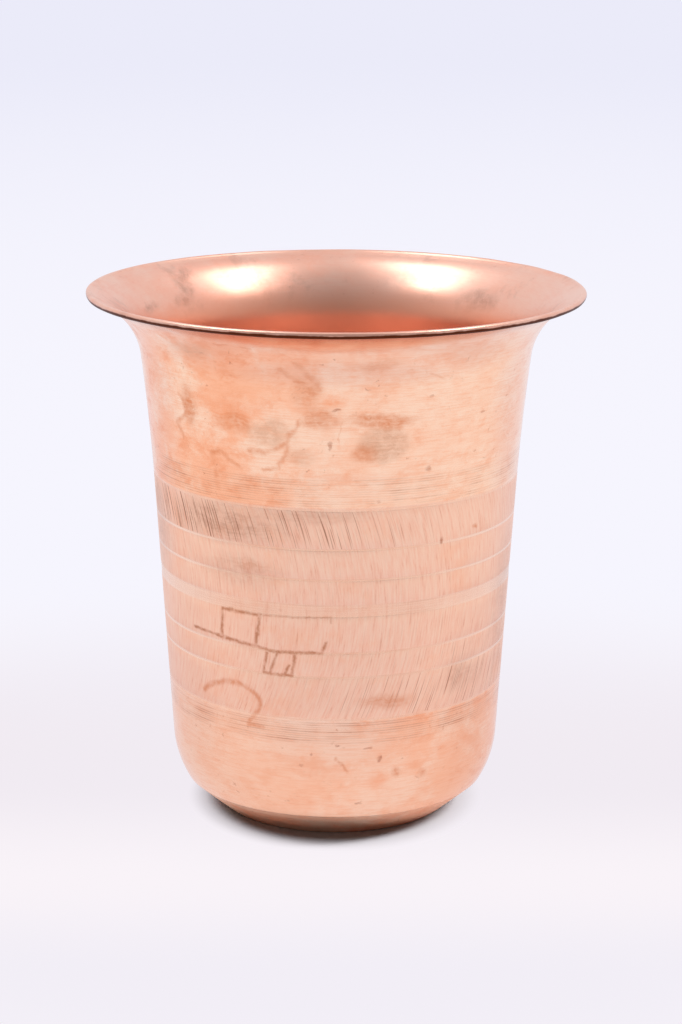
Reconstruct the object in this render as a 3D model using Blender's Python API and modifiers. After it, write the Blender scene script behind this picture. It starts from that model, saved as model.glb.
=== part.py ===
"""A flared copper water tumbler, turned and joined from sheet copper.

The vessel stands on the XY plane with its axis on +Z and its origin at the centre of its foot.
Four pieces make it: the spun wall with its flared mouth, the round bead along the mouth's edge,
the pressed base pan let into the wall's turned-in foot, and the braze inside that closes the joint.
"""

import math
from collections import namedtuple

import bpy

MM = 0.001

# Overall sizes
HEIGHT = 100 * MM
MOUTH_RADIUS = 46.6 * MM
SHEET = 0.6 * MM
FIT_GAP = 0.15 * MM

# Bead along the edge of the mouth, centred on the sheet
BEAD_RADIUS = 0.7 * MM
BEAD_SIDES = 12

# Flare, neck and wall, each angle measured from the vertical
LIP_ANGLE = math.radians(69)
NECK_ANGLE = math.radians(7)
WALL_LEAN = math.radians(3.55)
FLARE_RADIUS = 13.6 * MM
NECK_RADIUS = 415 * MM

# Foot: a flat base, a bevel up to a crease, and from there a round knuckle into the wall
FOOT_RADIUS = 22.2 * MM
FOOT_BEND = 1.2 * MM
CREASE_RADIUS = 28.75 * MM
CREASE_HEIGHT = 5.6 * MM
CREASE_ANGLE = math.radians(30)
BEVEL_ANGLE = math.atan2(CREASE_RADIUS - FOOT_RADIUS, CREASE_HEIGHT)
REST_RING_INNER = 18 * MM
KICK_RADIUS = 12 * MM
KICK_HEIGHT = 0.8 * MM

# Joint between base pan and wall
SEAM_BELOW_CREASE = 1.9 * MM
FLANGE_RISE = 1.0 * MM
BRAZE_SIZE = 0.9 * MM
BRAZE_HOLLOW = 0.35

# Turned ornament: narrow incised lines, and one wide shallow belt between the two tooled bands
LINE_HEIGHTS = [65.6 * MM, 58.2 * MM, 52.5 * MM, 38.6 * MM, 33.9 * MM, 25.7 * MM]
LINE_HALF_WIDTH = 0.30 * MM
LINE_DEPTH = 0.12 * MM
BELT_LOW = 45.4 * MM
BELT_HIGH = 48.0 * MM
BELT_DEPTH = 0.10 * MM
BELT_EDGE = 0.15 * MM

# Facets
TURN_STEPS = 60
FLARE_STEPS = 10
NECK_STEPS = 5
KNUCKLE_STEPS = 7
FOOT_STEPS = 4

# A station is a point of the sheet's outer face and the angle of the outward normal there
Station = namedtuple("Station", "r z angle")


def clear_scene():
    for old in list(bpy.data.objects):
        bpy.data.objects.remove(old)


def metal(name, colour, roughness):
    """A metal material in the given linear colour."""
    material = bpy.data.materials.new(name)
    material.use_nodes = True
    shader = material.node_tree.nodes["Principled BSDF"]
    shader.inputs["Base Color"].default_value = (*colour, 1)
    shader.inputs["Metallic"].default_value = 1
    shader.inputs["Roughness"].default_value = roughness
    return material


def inside(station, depth):
    """The point that lies this deep under a station's outer face."""
    return (
        station.r - depth * math.cos(station.angle),
        station.z - depth * math.sin(station.angle),
    )


def bend(centre, radius, first, last, count, hollow=False):
    """Stations along an arc. A hollow arc has its centre on the outer side of the sheet."""
    side = -radius if hollow else radius
    stations = []
    for i in range(count):
        angle = first + (last - first) * i / (count - 1)
        r = centre[0] + side * math.cos(angle)
        z = centre[1] + side * math.sin(angle)
        stations.append(Station(r, z, angle))
    return stations


def hollow_bend(start, radius, last, count):
    """Stations of a hollow arc that carries on from a station without a kink."""
    centre = (
        start.r + radius * math.cos(start.angle),
        start.z + radius * math.sin(start.angle),
    )
    return bend(centre, radius, start.angle, last, count, hollow=True)


def lip():
    """The station at the wall's upper edge, just short of the bead."""
    back = BEAD_RADIUS + FIT_GAP
    middle_r = MOUTH_RADIUS - BEAD_RADIUS - back * math.sin(LIP_ANGLE)
    middle_z = HEIGHT - BEAD_RADIUS - back * math.cos(LIP_ANGLE)
    middle = Station(middle_r, middle_z, -LIP_ANGLE)
    outer = inside(middle, -SHEET / 2)
    return Station(*outer, -LIP_ANGLE)


def flare_and_neck():
    """Stations of the hollow flare and the slow neck under it, from the lip down."""
    flare = hollow_bend(lip(), FLARE_RADIUS, -NECK_ANGLE, FLARE_STEPS)
    neck = hollow_bend(flare[-1], NECK_RADIUS, -WALL_LEAN, NECK_STEPS)
    return flare + neck[1:]


def wall_radius(height):
    """Outer radius of the straight tapering wall at a height."""
    top = flare_and_neck()[-1]
    return top.r - (top.z - height) * math.tan(WALL_LEAN)


def outer_radius(height):
    """Outer radius of the flare, neck or wall at a height, by the stations around it."""
    stations = flare_and_neck()
    for upper, lower in zip(stations, stations[1:]):
        if lower.z <= height <= upper.z:
            share = (height - lower.z) / (upper.z - lower.z)
            return lower.r + share * (upper.r - lower.r)
    return wall_radius(height)


def knuckle():
    """Stations of the round knuckle, from the wall down to the crease."""
    inset = wall_radius(CREASE_HEIGHT) - CREASE_RADIUS
    across = math.cos(WALL_LEAN) - math.cos(CREASE_ANGLE)
    rise = math.sin(CREASE_ANGLE) - math.sin(WALL_LEAN)
    radius = inset / (across - rise * math.tan(WALL_LEAN))
    crease = Station(CREASE_RADIUS, CREASE_HEIGHT, -CREASE_ANGLE)
    return bend(inside(crease, radius), radius, -WALL_LEAN, -CREASE_ANGLE, KNUCKLE_STEPS)


def down_bevel(distance):
    """The station this far down the bevel from the crease."""
    return Station(
        CREASE_RADIUS - distance * math.sin(BEVEL_ANGLE),
        CREASE_HEIGHT - distance * math.cos(BEVEL_ANGLE),
        -BEVEL_ANGLE,
    )


def ornament():
    """Height and depth of each point of the incised lines and the belt."""
    cuts = []
    for height in LINE_HEIGHTS:
        cuts.append((height + LINE_HALF_WIDTH, 0))
        cuts.append((height, LINE_DEPTH))
        cuts.append((height - LINE_HALF_WIDTH, 0))
    cuts.append((BELT_HIGH + BELT_EDGE, 0))
    cuts.append((BELT_HIGH, BELT_DEPTH))
    cuts.append((BELT_LOW, BELT_DEPTH))
    cuts.append((BELT_LOW - BELT_EDGE, 0))
    return cuts


def wall_profile():
    """Outer face from the lip down to the seam, then the inner face back up."""
    path = flare_and_neck() + knuckle() + [down_bevel(SEAM_BELOW_CREASE)]
    outer = [(s.r, s.z) for s in path]
    outer += [(outer_radius(height) - depth, height) for height, depth in ornament()]
    outer.sort(key=lambda point: -point[1])
    inner = [inside(s, SHEET) for s in reversed(path)]
    return outer + inner


def pan_profile():
    """Inner face from the axis out and up to the flange, then the outer face back to the axis."""
    deep = SHEET + FIT_GAP
    bend_run = FOOT_BEND * math.tan((math.pi / 2 - BEVEL_ANGLE) / 2)
    bend_centre = (FOOT_RADIUS - bend_run, FOOT_BEND)
    foot = bend(bend_centre, FOOT_BEND, -BEVEL_ANGLE, -math.pi / 2, FOOT_STEPS)
    rest_ring = Station(REST_RING_INNER, 0, -math.pi / 2)
    kick = Station(KICK_RADIUS, KICK_HEIGHT, -math.pi / 2)
    middle = Station(0, KICK_HEIGHT, -math.pi / 2)
    base = foot + [rest_ring, kick, middle]

    step = down_bevel(SEAM_BELOW_CREASE + FIT_GAP)
    step_inner = down_bevel(SEAM_BELOW_CREASE + FIT_GAP + SHEET)
    top_z = knuckle()[0].z + FLANGE_RISE
    flange = [Station(wall_radius(top_z), top_z, -WALL_LEAN)] + knuckle()

    outer = [inside(s, deep) for s in flange + [step]]
    outer += [inside(s, 0) for s in [step] + base]
    inner = [inside(s, SHEET) for s in base[::-1] + [step_inner]]
    inner += [inside(s, deep + SHEET) for s in [step_inner] + flange[::-1]]
    return inner + outer


def braze_profile():
    """A small hollow-faced fillet on the flange's top edge, against the wall."""
    foot_z = knuckle()[0].z + FLANGE_RISE + FIT_GAP
    head_z = foot_z + BRAZE_SIZE
    foot = Station(wall_radius(foot_z), foot_z, -WALL_LEAN)
    head = Station(wall_radius(head_z), head_z, -WALL_LEAN)
    near = SHEET + FIT_GAP
    toe = inside(foot, near + BRAZE_SIZE)
    middle = (
        toe[0] + BRAZE_SIZE * (1 - BRAZE_HOLLOW),
        foot_z + BRAZE_SIZE * BRAZE_HOLLOW,
    )
    return [inside(head, near), inside(foot, near), toe, middle]


def turned(name, profile, material, collection):
    """A solid of revolution from (radius, height) points that run down the outer side."""
    mesh = bpy.data.meshes.new(name)
    points = [(r, 0, z) for r, z in profile]
    edges = [(i, i + 1) for i in range(len(points) - 1)]
    starts_on_axis = profile[0][0] == 0
    if not starts_on_axis:
        edges.append((len(points) - 1, 0))
    mesh.from_pydata(points, edges, [])
    mesh.materials.append(material)
    piece = bpy.data.objects.new(name, mesh)
    collection.objects.link(piece)
    screw = piece.modifiers.new("Turn", "SCREW")
    screw.steps = TURN_STEPS
    screw.render_steps = TURN_STEPS
    screw.use_merge_vertices = True
    screw.merge_threshold = 0.01 * MM
    screw.use_smooth_shade = True


def ring(name, material, collection):
    """The round bead along the edge of the mouth."""
    bpy.ops.mesh.primitive_torus_add(
        major_radius=MOUTH_RADIUS - BEAD_RADIUS,
        minor_radius=BEAD_RADIUS,
        major_segments=TURN_STEPS,
        minor_segments=BEAD_SIDES,
        location=(0, 0, HEIGHT - BEAD_RADIUS),
    )
    piece = bpy.context.object
    piece.name = name
    piece.data.name = name
    piece.data.materials.append(material)
    piece.data.shade_smooth()
    for owner in list(piece.users_collection):
        owner.objects.unlink(piece)
    collection.objects.link(piece)


def main():
    clear_scene()
    collection = bpy.data.collections.new("copper_tumbler")
    bpy.context.scene.collection.children.link(collection)
    sheet_copper = metal("sheet_copper", (0.93, 0.53, 0.37), 0.28)
    drawn_copper = metal("drawn_copper", (0.90, 0.50, 0.34), 0.25)
    braze_metal = metal("braze_metal", (0.78, 0.55, 0.28), 0.45)
    turned("wall", wall_profile(), sheet_copper, collection)
    turned("base_pan", pan_profile(), sheet_copper, collection)
    turned("braze_fillet", braze_profile(), braze_metal, collection)
    ring("rim_bead", drawn_copper, collection)


main()
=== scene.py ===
"""Looks of a flared copper water tumbler.

It stands on the XY plane with its axis on +Z and its front towards -Y. Each piece is a skin of fine
rings, and each ring carries the values that the copper reads: how tooled it is there, how deep it lies in
a groove (on the bead, how much painted shade it takes), whether it is on the inner face, and how pale a
turned line may become with its painted highlight.
"""

import math
from collections import namedtuple

import bpy
import numpy as np
from mathutils import Matrix, Vector


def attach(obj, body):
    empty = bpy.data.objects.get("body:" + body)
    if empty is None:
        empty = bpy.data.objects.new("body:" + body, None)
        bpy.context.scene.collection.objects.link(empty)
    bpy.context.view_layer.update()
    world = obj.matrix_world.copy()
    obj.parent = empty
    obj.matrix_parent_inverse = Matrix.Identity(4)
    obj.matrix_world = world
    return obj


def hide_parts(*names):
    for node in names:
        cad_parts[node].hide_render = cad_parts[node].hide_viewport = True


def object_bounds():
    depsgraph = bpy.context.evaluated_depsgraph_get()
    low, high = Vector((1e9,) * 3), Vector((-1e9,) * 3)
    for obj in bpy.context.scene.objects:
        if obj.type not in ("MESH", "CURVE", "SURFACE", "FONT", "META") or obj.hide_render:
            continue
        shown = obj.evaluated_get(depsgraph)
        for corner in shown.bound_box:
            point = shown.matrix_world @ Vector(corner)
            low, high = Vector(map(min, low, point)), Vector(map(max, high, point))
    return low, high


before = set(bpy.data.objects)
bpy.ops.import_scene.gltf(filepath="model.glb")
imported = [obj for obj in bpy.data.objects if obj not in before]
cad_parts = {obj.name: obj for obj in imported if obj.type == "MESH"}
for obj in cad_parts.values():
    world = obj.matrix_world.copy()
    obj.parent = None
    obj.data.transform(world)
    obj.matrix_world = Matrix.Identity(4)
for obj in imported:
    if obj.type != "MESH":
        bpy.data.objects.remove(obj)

CAD_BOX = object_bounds()
MM = 0.001
SEED = 7

# Overall sizes: the height and the mouth are the frame's
HEIGHT = CAD_BOX[1].z
MOUTH_RADIUS = CAD_BOX[1].x
SHEET = 0.6 * MM
FIT_GAP = 0.15 * MM

# Bead along the mouth's edge; the sheet runs a little way into it
BEAD_RADIUS = 0.7 * MM
BEAD_SIDES = 48
BEAD_WOBBLE = 0.03 * MM
BEAD_WAVES = 24
SHEET_IN_BEAD = 0.35 * MM

# The bead's painted shade along its under side is darkest at this angle of its section, counted from straight
# out, and less so this far off it
BEAD_SHADE_AT = math.radians(-50)
BEAD_SHADE_HALF = math.radians(100)

# The bead is flattened on top, and runs out along the sheet as a tail
BEAD_TAIL = 5 * MM
BEAD_TAIL_SHARPNESS = 8
BEAD_TOP = 0.75

# Flare, neck and wall, each angle measured from the vertical
LIP_ANGLE = math.radians(69)
NECK_ANGLE = math.radians(7)
WALL_LEAN = math.radians(3.55)
FLARE_RADIUS = 13.6 * MM
NECK_RADIUS = 415 * MM

# Foot: a flat base, a bevel up to a crease, and from there a round knuckle into the wall
FOOT_RADIUS = 22.2 * MM
FOOT_BEND = 1.2 * MM
CREASE_RADIUS = 28.75 * MM
CREASE_HEIGHT = 5.6 * MM
CREASE_ANGLE = math.radians(30)
CREASE_BEND = 0.15 * MM
BEVEL_ANGLE = math.atan2(CREASE_RADIUS - FOOT_RADIUS, CREASE_HEIGHT)
REST_RING_INNER = 18 * MM
KICK_RADIUS = 12 * MM
KICK_HEIGHT = 0.8 * MM

# The pan's upper edge lies this far down the bevel from the crease, with a hairline gap above it
SEAM = 2.05 * MM
SEAM_GAP = 0.04 * MM

# The pan's flange inside the wall, and the braze on top of it
FLANGE_RISE = 1.0 * MM
BRAZE_SIZE = 0.9 * MM
BRAZE_WOBBLE = 0.18 * MM
BRAZE_FLOW_WAVES = 40
BRAZE_RIPPLE_WAVES = 70
BRAZE_SHARES = (0.25, 0.5, 0.75)

# Incised lines and the shallow belt between the two tooled bands, with the values that their copper reads;
# the pale values set how strongly a painted highlight shows on them towards the left and right
LINE_HALF_WIDTH = 0.30 * MM
LINE_DEPTH = 0.04 * MM
LINE_UNEVEN = 0.25
LINE_GROOVE = 0.2
LINE_TOOLED = 0.5
OUTERMOST_LINE_HIGHLIGHT = 0.2
BELT_EDGE = 0.15 * MM
BELT_DEPTH = 0.045 * MM
BELT_TOOLED = 0.55
BELT_LINE_HIGHLIGHT = 0.75

# Each tooled strip: upper edge, lower edge, depth of its strokes, and where round the wall they are deepest,
# in degrees from the front towards the right
Strip = namedtuple("Strip", "high low depth heavy")
UPPER_STRIPS = [
    Strip(65.6 * MM, 58.2 * MM, 0.042 * MM, -40),
    Strip(58.2 * MM, 52.5 * MM, 0.018 * MM, -30),
    Strip(52.5 * MM, 48.0 * MM, 0.014 * MM, 0),
]
LOWER_STRIPS = [
    Strip(45.4 * MM, 38.6 * MM, 0.014 * MM, 30),
    Strip(38.6 * MM, 33.9 * MM, 0.020 * MM, 50),
    Strip(33.9 * MM, 25.7 * MM, 0.030 * MM, 50),
]
BAND_HIGH = UPPER_STRIPS[0].high
BAND_LOW = LOWER_STRIPS[-1].low
BELT_HIGH = UPPER_STRIPS[-1].low
BELT_LOW = LOWER_STRIPS[0].high

# The strokes bow like a bracket round this height, by this much for each squared metre from it
BOW_HEIGHT = 47 * MM
BOW = 10.1

# Strokes: sizes across are in points of a ring, and those along in shares of the strip's height
STROKE_SPACING = 3
STROKE_REACH = 2
STROKE_HALF_WIDTH = (0.8, 1.3)
STROKE_MIDDLE = (0.1, 0.9)
STROKE_HALF_LENGTH = (0.35, 0.9)
STROKE_STRENGTH = (0.2, 1.5)
STROKE_STRONGEST = 2.5
STROKE_EVERYWHERE = 0.4
STROKE_HEAVY_SIDE = 0.8
STRIP_ROW_PITCH = 2.2 * MM

# Fine turned grooves above and below the bands, and in the belt
GROOVE_PITCH = 0.42 * MM
GROOVE_DEPTH = 0.016 * MM
GROOVE_WAVE = 0.05 * MM
GROOVE_WAVES = 5
GROOVE_MEAN = 0.75
GROOVE_UNEVEN = 0.35
GROOVE_STRONGEST = 1.5
GROOVE_STRENGTH = (0.4, 1.3)
GROOVE_TAPER_ROWS = 3
UPPER_GROOVES = (71.4 * MM, 66.2 * MM)
LOWER_GROOVES = (25.2 * MM, 20.9 * MM)

# Points round a ring: the tooled strips are finer than the rest
COARSE = 240
FINE = 6 * COARSE

# Rows of rings. The pan's also have an innermost radius, places on the bevel and a groove value
FLARE_ROWS = 18
NECK_ROWS = 12
FOOT_ROWS = 6
KNUCKLE_ROWS = 14
INNER_ROWS = 16
PAN_BEND_ROWS = 8
REST_RING_ROWS = 4
KICK_ROWS = 9
PAN_MIDDLE_ROWS = 24
PAN_MIDDLE_INNER = 0.6 * MM
PAN_BEVEL_SHARES = (0, 0.33, 0.66)
PAN_GROOVE = 0.7

# Edges bent by more than this are shaded as sharp
SHARP_ANGLE = math.radians(40)

# A station is a point of the sheet's outer face and the angle of the outward normal there
Station = namedtuple("Station", "r z angle")
DOWN = -math.pi / 2


# Profile of the sheet


def inside(station, depth):
    """Radius and height of the point that lies this deep under a station's outer face."""
    return station.r - depth * math.cos(station.angle), station.z - depth * math.sin(station.angle)


def bend(centre, radius, first, last, count, hollow=False):
    """Stations along an arc. A hollow arc has its centre on the outer side of the sheet."""
    side = -radius if hollow else radius
    return [
        Station(centre[0] + side * math.cos(angle), centre[1] + side * math.sin(angle), angle)
        for angle in np.linspace(first, last, count)
    ]


def lip():
    """The station at the sheet's upper edge, which lies inside the bead."""
    back = BEAD_RADIUS - SHEET_IN_BEAD
    middle = Station(
        MOUTH_RADIUS - BEAD_RADIUS - back * math.sin(LIP_ANGLE),
        HEIGHT - BEAD_RADIUS - back * math.cos(LIP_ANGLE),
        -LIP_ANGLE,
    )
    return Station(*inside(middle, -SHEET / 2), -LIP_ANGLE)


def flare_start():
    """The station where the flare's arc begins, as in the solid, a little short of the bead."""
    edge = lip()
    back = SHEET_IN_BEAD + FIT_GAP
    return Station(
        edge.r - back * math.sin(LIP_ANGLE), edge.z - back * math.cos(LIP_ANGLE), -LIP_ANGLE
    )


def arc_centre(station, radius):
    """Centre of the hollow arc that carries on from a station without a kink."""
    return station.r + radius * math.cos(station.angle), station.z + radius * math.sin(station.angle)


LIP = lip()
FLARE = bend(
    arc_centre(flare_start(), FLARE_RADIUS), FLARE_RADIUS, -LIP_ANGLE, -NECK_ANGLE, FLARE_ROWS, hollow=True
)
NECK_CENTRE = arc_centre(FLARE[-1], NECK_RADIUS)
NECK_END = bend(NECK_CENTRE, NECK_RADIUS, -NECK_ANGLE, -WALL_LEAN, 2, hollow=True)[-1]


def wall_station(height):
    """Station of the outer face at a height between the knuckle and the flare."""
    if height > NECK_END.z:
        angle = -math.asin((height - NECK_CENTRE[1]) / NECK_RADIUS)
        return Station(NECK_CENTRE[0] - NECK_RADIUS * math.cos(angle), height, angle)
    return Station(NECK_END.r - (NECK_END.z - height) * math.tan(WALL_LEAN), height, -WALL_LEAN)


def knuckle():
    """Stations of the round knuckle, from the wall down to the crease, the last two close together."""
    inset = wall_station(CREASE_HEIGHT).r - CREASE_RADIUS
    across = math.cos(WALL_LEAN) - math.cos(CREASE_ANGLE)
    rise = math.sin(CREASE_ANGLE) - math.sin(WALL_LEAN)
    radius = inset / (across - rise * math.tan(WALL_LEAN))
    crease = Station(CREASE_RADIUS, CREASE_HEIGHT, -CREASE_ANGLE)
    centre = inside(crease, radius)
    last = -CREASE_ANGLE + CREASE_BEND / radius
    return bend(centre, radius, -WALL_LEAN, last, KNUCKLE_ROWS) + [crease]


KNUCKLE = knuckle()


def down_bevel(distance):
    """The station this far down the bevel from the crease."""
    return Station(
        CREASE_RADIUS - distance * math.sin(BEVEL_ANGLE),
        CREASE_HEIGHT - distance * math.cos(BEVEL_ANGLE),
        -BEVEL_ANGLE,
    )


# Skins of rings


def steps(count):
    """Each point of a ring with the next one."""
    return [(i, (i + 1) % count) for i in range(count)]


def bridge(upper, upper_count, lower, lower_count):
    """Faces between two rings, each given by its first point and its count.

    One of the rings may be finer than the other, or a single point.
    """
    if upper_count == 1:
        return [(upper, lower + i, lower + j) for i, j in steps(lower_count)]
    if lower_count == 1:
        return [(upper + i, lower, upper + j) for i, j in steps(upper_count)]
    if upper_count == lower_count:
        return [(upper + i, lower + i, lower + j, upper + j) for i, j in steps(upper_count)]
    if upper_count > lower_count:
        turned_over = bridge(lower, lower_count, upper, upper_count)
        return [(second, first, third) for first, second, third in turned_over]
    faces = []
    share = lower_count // upper_count
    half = share // 2
    for i, j in steps(upper_count):
        fine = [lower + (i * share + k) % lower_count for k in range(share + 1)]
        faces += [(upper + i, a, b) for a, b in zip(fine[:half], fine[1:])]
        faces.append((upper + i, fine[half], upper + j))
        faces += [(upper + j, a, b) for a, b in zip(fine[half:], fine[half + 1:])]
    return faces


class Skin:
    """Rings of points, each joined to the next, with the values that the copper reads at every point."""

    VALUES = ("tooled", "groove", "inner", "line")

    def __init__(self):
        self.rings = []
        self.unturned = []
        self.values = {name: [] for name in self.VALUES}

    def ring(self, r, z, turn=0.0, count=COARSE, **values):
        """Adds a ring. Its radius, height and values are one number, or an array with one for each point."""
        spin = np.arange(count) * math.tau / count
        r, z = np.broadcast_to(r, count), np.broadcast_to(z, count)
        self.rings.append(np.column_stack([r * np.cos(spin + turn), r * np.sin(spin + turn), z]))
        self.unturned.append(np.column_stack([r * np.cos(spin), r * np.sin(spin), z]))
        for name in self.VALUES:
            self.values[name].append(np.broadcast_to(values.get(name, 0.0), count))

    def piece(self, name, material, closed=True):
        """The skin as an object. A closed skin joins its last ring to its first."""
        counts = [len(points) for points in self.rings]
        starts = np.concatenate([[0], np.cumsum(counts)])
        order = list(range(len(counts))) + ([0] if closed else [])
        faces = []
        for upper, lower in zip(order, order[1:]):
            faces += bridge(int(starts[upper]), counts[upper], int(starts[lower]), counts[lower])
        mesh = bpy.data.meshes.new(name)
        mesh.from_pydata(np.concatenate(self.rings).tolist(), [], faces)
        for value, parts in self.values.items():
            layer = mesh.attributes.new(value, "FLOAT", "POINT")
            layer.data.foreach_set("value", np.concatenate(parts).astype(np.float32))
        layer = mesh.attributes.new("unturned", "FLOAT_VECTOR", "POINT")
        layer.data.foreach_set("vector", np.concatenate(self.unturned).astype(np.float32).ravel())
        mesh.shade_smooth()
        mesh.set_sharp_from_angle(angle=SHARP_ANGLE)
        mesh.materials.append(material)
        made = bpy.data.objects.new(name, mesh)
        bpy.context.collection.objects.link(made)
        return made


def wander(rng, count, waves=9):
    """A smooth random value round a ring, mostly between -1 and 1."""
    spin = np.arange(count) * math.tau / count
    total = np.zeros(count)
    for wave in range(1, waves + 1):
        total += rng.normal() * np.cos(wave * spin + rng.uniform(0, math.tau)) / math.sqrt(waves)
    return total


# Wall


def stroke_turn(height):
    """How far the tool strokes have turned round the wall at a height, fixed above and below the bands."""
    within = min(max(height, BAND_LOW), BAND_HIGH)
    return -BOW * (within - BOW_HEIGHT) ** 2 / wall_station(within).r


def outer_ring(skin, height, depth=0.0, count=COARSE, **values):
    """A ring of the wall's outer face, sunk by a depth."""
    r, z = inside(wall_station(height), depth)
    skin.ring(r, z, stroke_turn(height), count, **values)


def strokes(rng, strip, rows):
    """Depths of a strip's tool strokes, one row for each ring: tapered cuts side by side, no two alike."""
    field = np.zeros((rows, FINE))
    along = np.linspace(0, 1, rows)
    reach = np.arange(-STROKE_REACH, STROKE_REACH + 1)
    for place in range(0, FINE, STROKE_SPACING):
        column = place + rng.integers(STROKE_SPACING)
        half_width = rng.uniform(*STROKE_HALF_WIDTH)
        middle = rng.uniform(*STROKE_MIDDLE)
        half_length = rng.uniform(*STROKE_HALF_LENGTH)
        across = np.clip(1 - np.abs(reach) / half_width, 0, 1)
        fade = np.clip(1 - ((along - middle) / half_length) ** 2, 0, 1)
        strength = rng.uniform(*STROKE_STRENGTH)
        field[:, (column + reach) % FINE] += strength * np.outer(fade, across)
    front = -math.pi / 2
    spin = np.arange(FINE) * math.tau / FINE - front
    facing = np.maximum(np.cos(spin - math.radians(strip.heavy)), 0)
    heavier = STROKE_EVERYWHERE + STROKE_HEAVY_SIDE * facing ** 2
    return np.minimum(field, STROKE_STRONGEST) * heavier


def tooled_strip(skin, rng, strip, upper_margin, lower_margin):
    """The rings of a strip between its two edges, with the strokes cut into them."""
    high, low = strip.high - upper_margin, strip.low + lower_margin
    rows = 2 + round((high - low) / STRIP_ROW_PITCH)
    field = strokes(rng, strip, rows)
    for height, cut in zip(np.linspace(high, low, rows), field):
        groove = cut * strip.depth / GROOVE_DEPTH
        outer_ring(skin, height, strip.depth * cut, FINE, tooled=1.0, groove=groove)


def incised_line(skin, rng, height, upper_count, lower_count, pale=1.0):
    """The floor of a narrow incised line, which may take a painted highlight towards the object's left and
    right.
    """
    for offset, count in ((LINE_HALF_WIDTH / 2, upper_count), (-LINE_HALF_WIDTH / 2, lower_count)):
        depth = LINE_DEPTH * (1 + LINE_UNEVEN * wander(rng, count))
        values = {"groove": LINE_GROOVE, "tooled": LINE_TOOLED, "line": pale}
        outer_ring(skin, height + offset, depth, count, **values)


def turned_grooves(skin, rng, high, low, base_depth=0.0, **values):
    """Fine grooves that the turning tool left, a little wavy and uneven."""
    rows = 2 * round((high - low) / GROOVE_PITCH) + 1
    wave = GROOVE_WAVE * wander(rng, COARSE, GROOVE_WAVES)
    for row, height in enumerate(np.linspace(high, low, rows)):
        station = wall_station(height)
        strength = np.clip(GROOVE_MEAN + GROOVE_UNEVEN * wander(rng, COARSE), 0, GROOVE_STRONGEST)
        strength = strength * rng.uniform(*GROOVE_STRENGTH)
        valley = strength if row % 2 else 0 * strength
        r, z = inside(station, base_depth + GROOVE_DEPTH * valley)
        taper = min(1.0, row / GROOVE_TAPER_ROWS, (rows - 1 - row) / GROOVE_TAPER_ROWS)
        skin.ring(r, z + wave * taper, stroke_turn(height), COARSE, groove=valley, **values)


def wall_inner(skin):
    """The inner face, from the seam back up to the lip, turning slowly back to the lip's own turn."""
    heights = np.linspace(KNUCKLE[0].z, FLARE[-1].z, INNER_ROWS)
    path = [down_bevel(SEAM - SEAM_GAP)] + KNUCKLE[::-1]
    path += [wall_station(height) for height in heights[1:-1]]
    path += FLARE[::-1] + [LIP]
    low_turn, high_turn = stroke_turn(BAND_LOW), stroke_turn(BAND_HIGH)
    for station, turn in zip(path, np.linspace(low_turn, high_turn, len(path))):
        skin.ring(*inside(station, SHEET), turn, inner=1.0)


def make_wall(material):
    """The wall's outer face from the lip down to the seam, then its inner face back up."""
    rng = np.random.default_rng(SEED)
    skin = Skin()
    for station in [LIP] + FLARE:
        skin.ring(station.r, station.z, stroke_turn(BAND_HIGH))
    for height in np.linspace(FLARE[-1].z, UPPER_GROOVES[0], NECK_ROWS)[1:-1]:
        outer_ring(skin, height)
    turned_grooves(skin, rng, *UPPER_GROOVES)

    outer_ring(skin, BAND_HIGH + LINE_HALF_WIDTH)
    incised_line(skin, rng, BAND_HIGH, COARSE, FINE, OUTERMOST_LINE_HIGHLIGHT)
    for strip in UPPER_STRIPS:
        if strip.high < BAND_HIGH:
            incised_line(skin, rng, strip.high, FINE, FINE)
        to_belt = strip.low == BELT_HIGH
        tooled_strip(skin, rng, strip, LINE_HALF_WIDTH, 0.0 if to_belt else LINE_HALF_WIDTH)
    belt = (BELT_HIGH - BELT_EDGE, BELT_LOW + BELT_EDGE)
    turned_grooves(skin, rng, *belt, BELT_DEPTH, tooled=BELT_TOOLED, line=BELT_LINE_HIGHLIGHT)
    for strip in LOWER_STRIPS:
        from_belt = strip.high == BELT_LOW
        tooled_strip(skin, rng, strip, 0.0 if from_belt else LINE_HALF_WIDTH, LINE_HALF_WIDTH)
        if strip.low > BAND_LOW:
            incised_line(skin, rng, strip.low, FINE, FINE)
    incised_line(skin, rng, BAND_LOW, FINE, COARSE, OUTERMOST_LINE_HIGHLIGHT)
    outer_ring(skin, BAND_LOW - LINE_HALF_WIDTH)

    turned_grooves(skin, rng, *LOWER_GROOVES)
    for height in np.linspace(LOWER_GROOVES[1], KNUCKLE[0].z, FOOT_ROWS)[1:-1]:
        outer_ring(skin, height)
    bevel = [down_bevel(distance) for distance in (CREASE_BEND, SEAM / 2, SEAM - SEAM_GAP)]
    for station in KNUCKLE + bevel:
        skin.ring(station.r, station.z, stroke_turn(BAND_LOW))
    wall_inner(skin)
    return skin.piece("wall_skin", material)


# Bead, base pan and braze


def beside_bead(distance, rise):
    """Radius and height of a point of the bead or its tail.

    The distance is from the bead's middle along the sheet, and the rise is above the sheet's middle. The
    sheet runs straight out of the bead and then follows the flare.
    """
    straight = BEAD_RADIUS + FIT_GAP
    centre = arc_centre(flare_start(), FLARE_RADIUS)
    angle = -LIP_ANGLE + np.maximum(distance - straight, 0) / FLARE_RADIUS
    short = straight - np.minimum(distance, straight)
    reach = FLARE_RADIUS + SHEET / 2 + rise
    r = centre[0] - reach * np.cos(angle) + short * math.sin(LIP_ANGLE)
    z = centre[1] - reach * np.sin(angle) + short * math.cos(LIP_ANGLE)
    return r, z


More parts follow.
